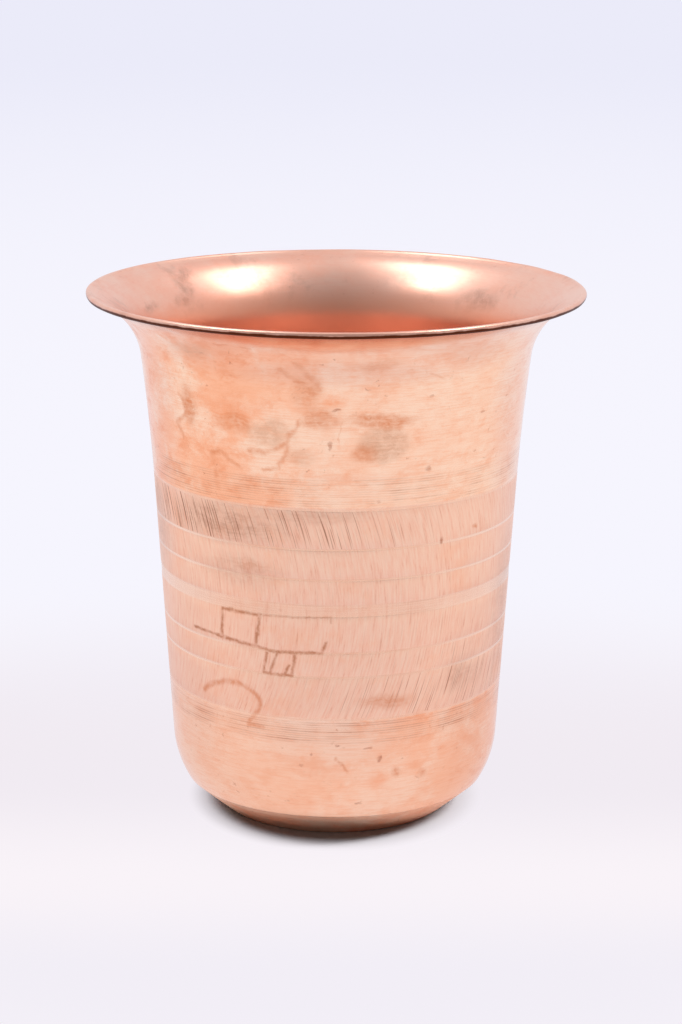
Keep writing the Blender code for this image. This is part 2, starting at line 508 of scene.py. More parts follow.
def make_bead(material):
    """The rolled bead, slightly uneven, with a tail along the sheet.

    Its groove value carries the painted shade along its under side.
    """
    rng = np.random.default_rng(SEED + 1)
    count = 2 * COARSE
    radius = BEAD_RADIUS - BEAD_WOBBLE * (1 + np.clip(wander(rng, count, BEAD_WAVES), -1, 1))
    along_sheet = -math.pi / 2 - LIP_ANGLE
    skin = Skin()
    for i in range(BEAD_SIDES):
        angle = math.pi - math.tau * i / BEAD_SIDES
        from_sheet = angle - along_sheet
        tail = BEAD_TAIL * max(0.0, math.cos(from_sheet)) ** BEAD_TAIL_SHARPNESS
        rise = -radius * math.sin(from_sheet)
        rise = np.where(rise > 0, BEAD_TOP * rise, rise)
        r, z = beside_bead(radius * math.cos(from_sheet) + tail, rise)
        # Painted shade on the under side, carried as the groove value
        bead_shade = max(0.0, 1 - abs(angle - BEAD_SHADE_AT) / BEAD_SHADE_HALF)
        skin.ring(r, z, count=count, groove=bead_shade)
    return skin.piece("rim_bead_skin", material)


def pan_base():
    """Stations of the pan's under side, from the bevel in to the raised middle."""
    bend_run = FOOT_BEND * math.tan((math.pi / 2 - BEVEL_ANGLE) / 2)
    bend_centre = (FOOT_RADIUS - bend_run, FOOT_BEND)
    base = bend(bend_centre, FOOT_BEND, -BEVEL_ANGLE, DOWN, PAN_BEND_ROWS)
    for r in np.linspace(base[-1].r, REST_RING_INNER, REST_RING_ROWS)[1:]:
        base.append(Station(r, 0, DOWN))
    for share in np.linspace(0, 1, KICK_ROWS)[1:]:
        r = REST_RING_INNER + share * (KICK_RADIUS - REST_RING_INNER)
        base.append(Station(r, KICK_HEIGHT * (1 - math.cos(math.pi * share)) / 2, DOWN))
    for r in np.linspace(KICK_RADIUS, PAN_MIDDLE_INNER, PAN_MIDDLE_ROWS)[1:]:
        base.append(Station(r, KICK_HEIGHT, DOWN))
    return base


def make_pan(material):
    """The base pan: inner face from the axis out and up to the flange, then the outer face back."""
    rng = np.random.default_rng(SEED + 2)
    deep = SHEET + FIT_GAP
    base = pan_base()
    step = down_bevel(SEAM)
    step_inner = down_bevel(SEAM + SHEET)
    flange = [wall_station(KNUCKLE[0].z + FLANGE_RISE)] + KNUCKLE
    skin = Skin()
    skin.ring(0, KICK_HEIGHT + SHEET, count=1, inner=1.0)
    for station in base[::-1] + [step_inner]:
        skin.ring(*inside(station, SHEET), inner=1.0)
    for station in [step_inner] + flange[::-1]:
        skin.ring(*inside(station, deep + SHEET), inner=1.0)
    for station in flange + [step]:
        skin.ring(*inside(station, deep), inner=1.0)
    for share in PAN_BEVEL_SHARES:
        skin.ring(step.r + share * (base[0].r - step.r), step.z + share * (base[0].z - step.z))
    for row, station in enumerate(base):
        tooling = GROOVE_DEPTH * (row % 2) * np.clip(1 + wander(rng, COARSE), 0, 2)
        r, z = inside(station, tooling if station.z > 0 else 0)
        skin.ring(r, z, groove=PAN_GROOVE * (row % 2))
    skin.ring(0, KICK_HEIGHT, count=1)
    return skin.piece("base_pan_skin", material, closed=False)


def make_braze(material):
    """The braze fillet on the flange's top edge: a hollow face with an uneven, flowed edge."""
    rng = np.random.default_rng(SEED + 3)
    count = 2 * COARSE
    foot_z = KNUCKLE[0].z + FLANGE_RISE + FIT_GAP
    near = wall_station(foot_z).r - SHEET - FIT_GAP
    flow = np.clip(wander(rng, count, BRAZE_FLOW_WAVES), -1, 1)
    ripple = np.clip(wander(rng, count, BRAZE_RIPPLE_WAVES), -1, 1)
    skin = Skin()
    head_r = near + BRAZE_SIZE * math.tan(WALL_LEAN)
    head_z = foot_z + BRAZE_SIZE - BRAZE_WOBBLE * (1 + flow) / 2
    skin.ring(head_r, head_z, count=count)
    skin.ring(near, foot_z, count=count)
    skin.ring(near - BRAZE_SIZE + BRAZE_WOBBLE * (1 + ripple) / 2, foot_z, count=count)
    for share in BRAZE_SHARES:
        angle = share * math.pi / 2
        hollow = BRAZE_SIZE - BRAZE_WOBBLE * (1 + 0.5 * (flow * share + ripple * (1 - share)))
        skin.ring(
            near - BRAZE_SIZE + hollow * math.sin(angle) + BRAZE_WOBBLE * (1 - share),
            foot_z + BRAZE_SIZE - hollow * math.cos(angle) - BRAZE_WOBBLE * share,
            count=count,
        )
    return skin.piece("braze_fillet_skin", material)


# Materials


def srgb(red, green, blue):
    """A colour as it reads on a screen, out of 255, made linear."""
    linear = [((v / 255 + 0.055) / 1.055) ** 2.4 for v in (red, green, blue)]
    return (*linear, 1.0)


PEACH = srgb(255, 218, 192)
ORANGE = srgb(255, 186, 149)
AMBER = srgb(249, 167, 125)
RUST = srgb(220, 134, 88)
GREY_TAN = srgb(222, 172, 142)
SPECK = srgb(168, 92, 58)
BAND_TAN = srgb(251, 190, 162)
BAND_PALE = srgb(255, 213, 187)
BAND_DARK = srgb(160, 106, 82)
# Brown of the dirt in the grooves, and of the painted shade just under the lip
GROOVE_DIRT_AND_LIP_SHADE = srgb(186, 124, 96)
MARK_BROWN = srgb(182, 108, 68)
# Painted highlight on the turned lines towards the object's left and right
LINE_PAINTED_HIGHLIGHT = srgb(255, 228, 210)
FOOT_PEACH = srgb(255, 203, 170)
# Painted shade along the bead's under side
LIP_PAINTED_SHADE = srgb(92, 42, 20)
INNER_PINK = srgb(226, 174, 160)
INNER_GREY = srgb(176, 136, 120)
INNER_DEEP = srgb(240, 166, 136)
SMUDGE = srgb(150, 108, 92)
FOOT_DARK = srgb(190, 120, 92)
BRASS = srgb(214, 178, 112)
FLUX_BROWN = srgb(130, 96, 58)

# Stains on the front of the wall, with two patches of painted shade at the bands' left and right sides, each
# place in degrees round from the front and mm up. A line has a half width in mm, a strength and its points
Line = namedtuple("Line", "half_width strength points")
MARK_LINES = [
    Line(0.60, 0.8, [(-38, 45.1), (-24, 45.1), (-26, 39), (-39, 39.6), (-38, 45.1)]),
    Line(0.50, 0.8, [(-52, 39.9), (-39, 39.6)]),
    Line(0.55, 0.8, [(-26, 39), (-20, 38.4), (-13, 38.5), (-4, 38.7), (-2.7, 40.6)]),
    Line(0.30, 0.4, [(-24, 45.1), (-14, 45.2), (-1, 45.6), (-1, 44.4)]),
    Line(0.52, 0.75, [(-22, 37.9), (-23.4, 34.1), (-13.8, 34), (-12.6, 38)]),
    Line(0.52, 0.75, [(-18.3, 38.4), (-21, 34.3)]),
    Line(0.52, 0.75, [(-14.8, 35.8), (-16, 34.3)]),
]
ARC_LINES = [
    Line(0.90, 0.66, [(-48.6, 28), (-46, 29.2), (-43, 29.9), (-39.5, 30.7), (-36, 31.1), (-32.5, 31.1)]),
    Line(0.90, 0.66, [(-32.5, 31.1), (-29, 30.5), (-26.5, 29.6), (-25.2, 28.6), (-25, 27.6), (-26.3, 26.1)]),
    Line(0.65, 0.66, [(-26.3, 26.1), (-27.6, 25.2), (-29.3, 24.1), (-29.6, 23.3), (-24.3, 23.2)]),
]
TRAIL_LINES = [
    Line(0.70, 0.6, [(-10, 82.6), (-13, 79.1), (-14, 76.1), (-17, 73.3), (-22, 72.5)]),
    Line(0.80, 0.6, [(-25, 76.2), (-21, 75.9), (-14, 77.6)]),
    Line(0.80, 0.55, [(-39, 74.4), (-35, 75.1), (-32, 73.8), (-29, 72.5)]),
    Line(1.00, 0.3, [(-39, 74), (-37, 67.6)]),
    Line(0.80, 0.6, [(-51, 84.2), (-49, 82.4), (-50, 80.3), (-53, 78.5), (-51, 76.2)]),
    Line(0.30, 0.4, [(-10, 82.9), (1, 84.4), (1.5, 78)]),
    Line(0.90, 0.4, [(-15, 91.5), (-10, 89), (-6, 87)]),
    Line(0.90, 0.4, [(-10, 92.9), (-5, 88.4)]),
    Line(0.25, 0.4, [(17, 91.8), (27, 90.3), (33, 88.8)]),
    Line(0.35, 0.4, [(-31, 95.5), (-22, 95.1)]),
    Line(0.50, 0.55, [(0.6, 17.8), (4.3, 15.6)]),
]

# A patch has a middle, half sizes in mm, the share of them that is soft edge, a colour and a strength
Patch = namedtuple("Patch", "degrees height half_width half_height soft colour strength")
PATCHES = [
    Patch(-31, 82.4, 7.5, 4.2, 0.7, AMBER, 0.9),
    Patch(-30, 81.0, 5.2, 2.4, 0.8, RUST, 0.6),
    Patch(-25, 86.5, 7.5, 2.4, 0.9, ORANGE, 0.6),
    Patch(-38, 86.0, 6.5, 5.0, 0.9, ORANGE, 0.6),
    Patch(-19, 79.6, 5.6, 3.6, 0.6, GREY_TAN, 0.75),
    Patch(-47, 82.5, 2.6, 6.0, 0.8, RUST, 0.95),
    Patch(-4, 82.6, 4.8, 2.8, 0.7, RUST, 0.7),
    Patch(-0.5, 85.8, 3.4, 1.8, 0.8, AMBER, 0.9),
    Patch(-10, 75.3, 3.4, 2.4, 0.7, GREY_TAN, 0.5),
    Patch(-42, 93.4, 5.5, 2.2, 0.9, GREY_TAN, 0.7),
    Patch(-8, 87.5, 3.5, 5.0, 0.8, RUST, 0.6),
    Patch(14.3, 77.8, 5.4, 4.6, 0.5, GREY_TAN, 0.9),
    Patch(13.4, 82.1, 7.5, 2.0, 0.7, RUST, 0.9),
    Patch(8, 75.9, 2.8, 2.4, 0.8, RUST, 0.7),
    Patch(11, 92.6, 5.5, 1.6, 0.9, RUST, 0.5),
    Patch(-42, 84, 3.5, 3.5, 0.8, AMBER, 0.7),
    Patch(-27, 53.9, 4.0, 1.8, 0.9, RUST, 0.4),
    Patch(17, 28.9, 7.5, 2.2, 0.9, RUST, 0.7),
    Patch(-36, 61.7, 19, 5.2, 0.9, BAND_DARK, 0.5),
    Patch(-6, 64.2, 12, 2.0, 0.9, BAND_DARK, 0.3),
    Patch(-31, 53.0, 12, 4.5, 0.9, BAND_DARK, 0.28),
    Patch(46, 31.5, 8, 5, 0.9, BAND_DARK, 0.28),
    # Painted shade at the bands' right and left sides
    Patch(72, 44, 9, 19, 0.9, BAND_DARK, 0.3),
    Patch(-74, 56, 9, 12, 0.9, BAND_DARK, 0.3),
    Patch(34, 58.3, 0.5, 0.9, 0.6, SPECK, 0.8),
    Patch(48, 59.9, 0.9, 0.7, 0.8, RUST, 0.8),
    Patch(28, 86, 0.6, 0.5, 0.6, SPECK, 0.5),
    Patch(47, 81.6, 0.9, 0.5, 0.6, SPECK, 0.5),
    Patch(28, 72.7, 0.7, 0.7, 0.6, SPECK, 0.5),
    Patch(-1, 77.6, 0.5, 1.2, 0.6, SPECK, 0.6),
    Patch(0, 84.3, 1.0, 0.4, 0.6, SPECK, 0.6),
    Patch(15, 13.3, 4.2, 2.2, 0.9, AMBER, 0.6),
    Patch(21, 14.7, 1.6, 1.6, 0.9, RUST, 0.8),
    Patch(31.4, 13.6, 1.4, 1.5, 0.9, RUST, 0.6),
    Patch(0.9, 20.3, 0.8, 0.5, 0.6, SPECK, 0.7),
    Patch(15.5, 17.8, 0.5, 0.9, 0.6, SPECK, 0.6),
    Patch(11.3, 20.1, 1.2, 0.3, 0.6, SPECK, 0.5),
    Patch(7.8, 8.8, 1.0, 0.4, 0.6, SPECK, 0.6),
    Patch(-7.4, 18.7, 0.5, 0.4, 0.6, SPECK, 0.6),
]
INNER_PATCHES = [
    Patch(-131, 95.8, 3.0, 3.4, 0.9, SMUDGE, 0.55),
    Patch(-127, 93.2, 3.4, 1.6, 0.9, SMUDGE, 0.5),
    Patch(-134, 97.6, 3.2, 1.0, 0.8, SMUDGE, 0.55),
    Patch(-110, 93.4, 4.6, 1.4, 0.9, SMUDGE, 0.5),
    Patch(131, 93.0, 6.0, 3.0, 0.9, SMUDGE, 0.5),
    Patch(160, 95.0, 5.0, 2.4, 0.9, SMUDGE, 0.25),
]

# The radius, in mm, at which the wall is rolled out flat for its stains
FRONT_RADIUS = 33.0

# How noise lies on the object, and by how much each of its layers is finer than the last
NOISE_SHIFT = (0.37, 0.21, 0.53)
NOISE_SLANT = (0.7, 0.5, 0.3)
NOISE_STEP = 2.17

# Plain noise: scale, detail and roughness
GRAIN = (2800, 3, 0.7)
TURNING = (3600, 3, 0.7)
RINGS = (2500, 3, 0.7)
# The bead's noise only makes the edge of its painted shade uneven
BEAD_SHADE_NOISE = (260, 4, 0.6)
BRAZE_BUMPS = (1200, 4, 0.55)

# A place is stretched along X, Y and Z so that the noise on it runs in streaks
GRAIN_STRETCH = (1.0, 1.0, 0.05)
TURNING_STRETCH = (0.06, 0.06, 1.0)
WIPE_STRETCH = (1.0, 1.0, 1.9)
BRUSH_STRETCH = (0.1, 2.4, 0.0)

# Blots: noise that shows from a first to a last strength while its value runs from low to high
Blots = namedtuple("Blots", "scale detail roughness low high first last", defaults=(0.0, 1.0))
CLOUDS = Blots(80, 6, 0.64, 0.35, 0.60)
SWIRLS = Blots(190, 8, 0.74, 0.46, 0.64)
SPECKS = Blots(800, 2, 0.55, 0.64, 0.76, 0.0, 0.5)
SPECKLED = Blots(140, 2, 0.55, 0.46, 0.60)
SMUDGES = Blots(105, 5, 0.65, 0.54, 0.68, 0.0, 0.3)
INNER_TORN = Blots(0.6, 5, 0.70, 0.36, 0.60, 0.45, 1.0)
BLOTCHES = Blots(110, 5, 0.65, 0.50, 0.70, 0.0, 0.4)
BRUSHED = Blots(1.0, 4, 0.60, 0.35, 0.62, 0.65, 1.0)
TORN = Blots(0.7, 6, 0.70, 0.36, 0.60, 0.55, 1.0)
UNEVEN = Blots(0.6, 4, 0.55, 0.34, 0.60, 0.4, 1.0)
DIRT = Blots(160, 3, 0.55, 0.35, 0.65, 0.1, 0.5)
FLUX = Blots(500, 4, 0.65, 0.45, 0.70)
BRAZE_DULL = Blots(900, 3, 0.55, 0.30, 0.70, 0.3, 0.55)

# How noise pushes a place about, each push with its scale and reach. The ragged and drawn ones are in mm.
# All have the same detail and roughness
CLOUD_FLOW = [(45, 4 * MM)]
CLOUD_FRAY = [(260, 0.8 * MM), (1100, 0.18 * MM)]
SWIRL_FLOW = [(60, 3 * MM), (400, 0.4 * MM)]
SMUDGE_FLOW = [(60, 3 * MM)]
INNER_RAGGED = [(0.3, 1.4), (1.2, 0.4)]
RAGGED = [(0.2, 1.2), (0.9, 0.3), (3.5, 0.1)]
DRAWN = [(0.7, 0.32), (2.6, 0.16)]
PUSH_NOISE = (3.0, 0.55)

# Where a colour comes or goes: a value's low and high end, and its strength at each, or else 0 and 1
GRAIN_PALE = (0.2, 0.7)
GRAIN_DARK = (0.42, 0.25, 0.0, 0.25)
STROKE_DARK = (0.4, 3.6, 0.0, 0.85)
TURNING_AMBER = (0.42, 0.72, 0.0, 0.35)
RINGS_RUST = (0.45, 0.75, 0.0, 0.25)
# Where the bead's painted shade starts and where it is full
BEAD_SHADE_EDGE = (0.38, 0.6)
THROAT = (89 * MM, 95 * MM, 0.9, 0.0)
RIGHTWARD = (-24 * MM, 12 * MM, -0.3, 0.3)
FOOT_TO_NECK = (BAND_LOW, BAND_HIGH, -1.0, 1.0)
FOOT_EVEN = (BAND_LOW - 3 * MM, BAND_LOW, 0.38, 0.0)
# The turned lines' painted highlight grows over this stretch of distance to the left or right
LINE_HIGHLIGHT_ASIDE = (12 * MM, 30 * MM, 0.0, 0.66)
# A band of painted shade just under the lip, all round the outer face
UNDER_LIP_SHADE = (HEIGHT - 4 * MM, HEIGHT - 1.5 * MM, 0.0, 0.6)
BEVEL_DULL = (CREASE_HEIGHT - CREASE_BEND, CREASE_HEIGHT, 0.46, 0.0)
# The pan's outer face goes darker towards the edge that it stands on, below this height
FOOT_DARKER_LOW = (0.0, 5 * MM, 0.2, 0.0)

# Strengths of single layers
CLOUDINESS = 0.7
CLOUD_ORANGE = 0.9
SWIRL_AMBER = 0.6
SWIRLS_ANYWHERE = 0.25
MOST_DIRT = 0.8
LINE_BROWN = 0.1
PAN_GROOVE_BROWN = 0.4
BEAD_SHADE_NOISE_REACH = 0.4
INNER_SHARE = 0.65

# Roughness that each material starts from, and depth of its finest relief
WALL_ROUGHNESS = 0.15
PAN_ROUGHNESS = 0.6
BEAD_ROUGHNESS = 0.3
WALL_RELIEF = 0.02 * MM
TURNING_RELIEF = 0.1
PAN_RELIEF = 0.015 * MM
BRAZE_RELIEF = 0.03 * MM


class Nodes:
    """Adds shader nodes to a tree and links them by their sockets."""

    def __init__(self, tree):
        self.tree = tree

    def add(self, kind, **inputs):
        """A new node, with some of its inputs fed by name. An underscore stands for a space."""
        node = self.tree.nodes.new(kind)
        for name, value in inputs.items():
            self.feed(node.inputs[name.replace("_", " ")], value)
        return node

    def feed(self, socket, value):
        """Links a socket to another one, or sets its value."""
        if isinstance(value, bpy.types.NodeSocket):
            self.tree.links.new(value, socket)
        else:
            socket.default_value = value

    def place(self):
        """The point's place on the object, in metres."""
        return self.add("ShaderNodeTexCoord").outputs["Object"]

    def askew(self, place):
        """The place in slanting axes, so that no straight edge of the noise runs round or up the object."""
        node = self.add("ShaderNodeMapping", Vector=place, Location=NOISE_SHIFT, Rotation=NOISE_SLANT)
        return node.outputs["Vector"]

    def axis(self, place, name):
        """One coordinate of a place."""
        return self.add("ShaderNodeSeparateXYZ", Vector=place).outputs[name]

    def attribute(self, name, output="Fac"):
        """A value that the skin carries at each of its points."""
        node = self.add("ShaderNodeAttribute")
        node.attribute_name = name
        return node.outputs[output]

    def math(self, operation, first, second=0.0, clamp=False):
        """One step of arithmetic on values."""
        node = self.add("ShaderNodeMath")
        node.operation = operation
        node.use_clamp = clamp
        self.feed(node.inputs[0], first)
        self.feed(node.inputs[1], second)
        return node.outputs[0]

    def times(self, first, second):
        """Two values multiplied."""
        return self.math("MULTIPLY", first, second)

    def weighted(self, base, *terms):
        """The base plus each further value times its weight."""
        total = base
        for value, weight in terms:
            total = self.math("ADD", total, self.times(value, weight))
        return total

    def vector(self, operation, first, second=(0.0, 0.0, 0.0), output="Vector"):
        """One step of arithmetic on places."""
        node = self.add("ShaderNodeVectorMath")
        node.operation = operation
        self.feed(node.inputs[0], first)
        self.feed(node.inputs["Scale"] if operation == "SCALE" else node.inputs[1], second)
        return node.outputs[output]

    def stretch(self, place, factors):
        """The place with each of its coordinates multiplied by a factor."""
        return self.vector("MULTIPLY", place, factors)

    def noise(self, place, scale, detail, roughness, output="Fac"):
        """Noise over a place."""
        node = self.add("ShaderNodeTexNoise", Vector=place, Scale=scale, Detail=detail, Roughness=roughness)
        node.inputs["Lacunarity"].default_value = NOISE_STEP
        return node.outputs[output]

    def span(self, value, low, high, first=0.0, last=1.0, smooth=True):
        """Runs from first to last while the value runs from low to high."""
        ends = {"From_Min": low, "From_Max": high, "To_Min": first, "To_Max": last}
        node = self.add("ShaderNodeMapRange", Value=value, **ends)
        node.interpolation_type = "SMOOTHSTEP" if smooth else "LINEAR"
        return node.outputs["Result"]

    def blots(self, place, kind):
        """How strongly blots of a kind show over a place."""
        noise = self.noise(place, kind.scale, kind.detail, kind.roughness)
        return self.span(noise, kind.low, kind.high, kind.first, kind.last)

    def mix(self, share, first, second):
        """One colour going over to another by a share."""
        node = self.add("ShaderNodeMix")
        node.data_type = "RGBA"
        self.feed(node.inputs["Factor"], share)
        self.feed(node.inputs["A"], first)
        self.feed(node.inputs["B"], second)
        return node.outputs["Result"]

    def over(self, colour, *layers):
        """The colour with layers laid over it, each with its share and its own colour."""
        for share, tone in layers:
            colour = self.mix(share, colour, tone)
        return colour

    def warp(self, place, pushes):
        """The place, pushed about by noise, by one push after the other."""
        for scale, reach in pushes:
            noise = self.noise(place, scale, *PUSH_NOISE, output="Color")
            push = self.vector("SUBTRACT", noise, (0.5, 0.5, 0.5))
            place = self.vector("ADD", place, self.vector("SCALE", push, 2 * reach))
        return place


class Paint(Nodes):
    """The nodes of a new material."""

    def __init__(self, name):
        self.material = bpy.data.materials.new(name)
        self.material.use_nodes = True
        super().__init__(self.material.node_tree)

    def finish(self, name, value):
        """Feeds an input of the surface shader."""
        self.feed(self.tree.nodes["Principled BSDF"].inputs[name], value)

    def bump(self, height, distance):
        """Gives the surface a fine relief."""
        node = self.add("ShaderNodeBump", Height=height, Distance=distance)
        self.finish("Normal", node.outputs["Normal"])

    def metal(self, colour, roughness):
        """The material, finished as a metal."""
        self.finish("Base Color", colour)
        self.finish("Roughness", roughness)
        self.finish("Metallic", 1.0)
        return self.material


def unrolled(paint, place):
    """The place rolled out flat, in mm: along the wall from the front, and up."""
    towards_front = paint.times(paint.axis(place, "Y"), -1.0)
    angle = paint.math("ARCTAN2", paint.axis(place, "X"), towards_front)
    along = paint.times(angle, FRONT_RADIUS)
    up = paint.times(paint.axis(place, "Z"), 1 / MM)
    return paint.add("ShaderNodeCombineXYZ", X=along, Y=up).outputs[0]


def on_wall(degrees, height):
    """A point of the rolled-out wall, in mm."""
    return Vector((math.radians(degrees) * FRONT_RADIUS, height, 0.0))


def from_segment(paint, point, start, end):
    """Distance of a point from a straight stretch."""
    along = end - start
    offset = paint.vector("SUBTRACT", point, start)
    reach = paint.vector("DOT_PRODUCT", offset, along / along.length_squared, "Value")
    nearest = paint.vector("SCALE", along, paint.math("MULTIPLY", reach, 1.0, clamp=True))
    return paint.vector("LENGTH", paint.vector("SUBTRACT", offset, nearest), output="Value")


def stain_lines(paint, flat, lines):
    """How strongly any of the lines shows at each point."""
    strongest = 0.0
    for line in lines:
        nearest = None
        for start, end in zip(line.points, line.points[1:]):
            distance = from_segment(paint, flat, on_wall(*start), on_wall(*end))
            nearest = distance if nearest is None else paint.math("MINIMUM", nearest, distance)
        shows = paint.span(nearest, 0.0, line.half_width, line.strength, 0.0)
        strongest = paint.math("MAXIMUM", strongest, shows)
    return strongest


def stain_patches(paint, flat, colour, patches, share):
    """The colour with every patch laid over it, each weakened by the share."""
    for patch in patches:
        offset = paint.vector("SUBTRACT", flat, on_wall(patch.degrees, patch.height))
        size = paint.vector("DIVIDE", offset, (patch.half_width, patch.half_height, 1.0))
        depth = paint.vector("LENGTH", size, output="Value")
        shows = paint.span(depth, 1.0 - patch.soft, 1.0, patch.strength, 0.0)
        colour = paint.mix(paint.times(shows, share), colour, patch.colour)
    return colour


def stained_copper(paint, place, share=1.0):
    """Polished copper with orange clouds, darker swirls in them and specks. The share weakens the clouds."""
    askew = paint.askew(place)
    frayed = paint.warp(askew, CLOUD_FLOW + CLOUD_FRAY)
    clouds = paint.times(paint.blots(frayed, CLOUDS), share)
    wiped = paint.stretch(paint.warp(place, SWIRL_FLOW), WIPE_STRETCH)
    swirls = paint.blots(paint.askew(wiped), SWIRLS)
    swirls = paint.times(swirls, paint.math("ADD", clouds, SWIRLS_ANYWHERE))
    specks = paint.times(paint.blots(frayed, SPECKS), paint.blots(askew, SPECKLED))
    orange = paint.times(clouds, CLOUD_ORANGE)
    amber = paint.times(swirls, SWIRL_AMBER)
    return paint.over(PEACH, (orange, ORANGE), (amber, AMBER), (specks, SPECK)), swirls


def inner_copper(paint, place, colour):
    """The inner face: the polish gone pinker, with grey smudges, and deeper in colour down the throat."""
    smudges = paint.blots(paint.warp(paint.askew(place), SMUDGE_FLOW), SMUDGES)
    colour = paint.over(colour, (INNER_SHARE, INNER_PINK), (smudges, INNER_GREY))
    ragged = paint.warp(unrolled(paint, place), INNER_RAGGED)
    colour = stain_patches(paint, ragged, colour, INNER_PATCHES, paint.blots(ragged, INNER_TORN))
    return paint.mix(paint.span(paint.axis(place, "Z"), *THROAT), colour, INNER_DEEP)


def tooled_band(paint, place, unturned, groove):
    """The bands between the tool strokes: pale copper with upright grain, darker in the strokes."""
    grain = paint.noise(paint.stretch(unturned, GRAIN_STRETCH), *GRAIN)
    band = paint.over(
        BAND_TAN,
        (paint.span(grain, *GRAIN_PALE), BAND_PALE),
        (paint.blots(paint.askew(place), BLOTCHES), ORANGE),
        (paint.span(grain, *GRAIN_DARK), BAND_DARK),
        (paint.span(groove, *STROKE_DARK), BAND_DARK),
    )
    return band, grain


def front_stains(paint, flat, colour, outer):
    """The colour with the stains on the front of the wall, and the painted shade at the bands' sides, laid
    over it.
    """
    ragged = paint.warp(flat, RAGGED)
    torn = paint.times(paint.blots(ragged, TORN), outer)
    brushed = paint.times(paint.blots(paint.stretch(ragged, BRUSH_STRETCH), BRUSHED), torn)
    colour = stain_patches(paint, ragged, colour, PATCHES, brushed)
    drawn = paint.warp(flat, DRAWN)
    uneven = paint.times(paint.blots(flat, UNEVEN), outer)
    marks = paint.times(stain_lines(paint, drawn, MARK_LINES), uneven)
    arc = paint.times(stain_lines(paint, drawn, ARC_LINES), uneven)
    trails = paint.times(stain_lines(paint, ragged, TRAIL_LINES), torn)
    return paint.over(colour, (marks, MARK_BROWN), (paint.math("MAXIMUM", arc, trails), RUST))


def wall_copper():
    """The wall: stained polish on neck and foot, pale tooled bands, brown in the grooves, stains in front,
    painted highlights on the turned lines towards the left and right, and painted shade at the bands' sides
    and under the lip.
    """
    paint = Paint("wall_copper")
    place = paint.place()
    height = paint.axis(place, "Z")
    across = paint.axis(place, "X")
    unturned = paint.attribute("unturned", "Vector")
    tooled = paint.attribute("tooled")
    groove = paint.attribute("groove")
    line = paint.attribute("line")
    inner = paint.attribute("inner")
    outer = paint.math("SUBTRACT", 1.0, inner)

    clearer = paint.times(paint.span(across, *RIGHTWARD), paint.span(height, *FOOT_TO_NECK))
    cloudy = paint.math("SUBTRACT", CLOUDINESS, clearer)
    cloudy = paint.times(cloudy, paint.math("SUBTRACT", 1.0, tooled))
    polish, swirls = stained_copper(paint, place, cloudy)
    turning = paint.noise(paint.stretch(unturned, TURNING_STRETCH), *TURNING)
    dirt = paint.times(groove, paint.blots(place, DIRT))
    polish = paint.over(
        polish,
        (paint.span(height, *FOOT_EVEN), FOOT_PEACH),
        (paint.span(turning, *TURNING_AMBER), AMBER),
        (paint.math("MINIMUM", dirt, MOST_DIRT), GROOVE_DIRT_AND_LIP_SHADE),
    )

    band, grain = tooled_band(paint, place, unturned, groove)
    brown = paint.times(line, LINE_BROWN)
    # Painted highlight on the turned lines, stronger towards the object's left and right
    pale = paint.times(line, paint.span(paint.math("ABSOLUTE", across), *LINE_HIGHLIGHT_ASIDE))
    colour = paint.over(polish, (tooled, band), (brown, GROOVE_DIRT_AND_LIP_SHADE), (pale, LINE_PAINTED_HIGHLIGHT))
    colour = front_stains(paint, unrolled(paint, place), colour, outer)
    inner_colour = inner_copper(paint, place, polish)
    # Painted shade in a band just under the lip; the inner face then takes its own copper
    colour = paint.over(colour, (paint.span(height, *UNDER_LIP_SHADE), GROOVE_DIRT_AND_LIP_SHADE), (inner, inner_colour))

    bevel = paint.times(paint.span(height, *BEVEL_DULL), outer)
    duller = [(tooled, 0.16), (swirls, 0.06), (turning, 0.06), (inner, 0.12), (bevel, 1.0)]
    relief = paint.math("ADD", paint.times(turning, TURNING_RELIEF), paint.times(tooled, grain))
    paint.bump(relief, WALL_RELIEF)
    return paint.metal(colour, paint.weighted(WALL_ROUGHNESS, *duller))


def pan_copper():
    """The base pan: stained polish with turning rings, darker towards the edge that it stands on."""
    paint = Paint("pan_copper")
    place = paint.place()
    polish, swirls = stained_copper(paint, place)
    radius = paint.vector("LENGTH", paint.stretch(place, (1.0, 1.0, 0.0)), output="Value")
    rings = paint.noise(paint.vector("SCALE", (1.0, 0.0, 0.0), radius), *RINGS)
    rust = paint.span(rings, *RINGS_RUST)
    brown = paint.times(paint.attribute("groove"), PAN_GROOVE_BROWN)
    outer = paint.math("SUBTRACT", 1.0, paint.attribute("inner"))
    darker_low = paint.times(paint.span(paint.axis(place, "Z"), *FOOT_DARKER_LOW), outer)
    colour = paint.over(polish, (rust, RUST), (brown, GROOVE_DIRT_AND_LIP_SHADE), (darker_low, FOOT_DARK))
    paint.bump(rings, PAN_RELIEF)
    return paint.metal(colour, paint.weighted(PAN_ROUGHNESS, (swirls, 0.1)))


def bead_copper():
    """The bead: the inner face's copper on top, painted shade along its under side."""
    paint = Paint("bead_copper")
    place = paint.place()
    polish, swirls = stained_copper(paint, place, CLOUDINESS)
    bright = inner_copper(paint, place, polish)
    shade_noise = paint.math("SUBTRACT", paint.noise(paint.askew(place), *BEAD_SHADE_NOISE), 0.5)
    edge = paint.weighted(paint.attribute("groove"), (shade_noise, BEAD_SHADE_NOISE_REACH))
    # Painted shade along the under side, its edge made uneven by noise
    bead_shade = paint.span(edge, *BEAD_SHADE_EDGE)
    rough = paint.weighted(BEAD_ROUGHNESS, (swirls, 0.06), (bead_shade, 0.15))
    return paint.metal(paint.mix(bead_shade, bright, LIP_PAINTED_SHADE), rough)


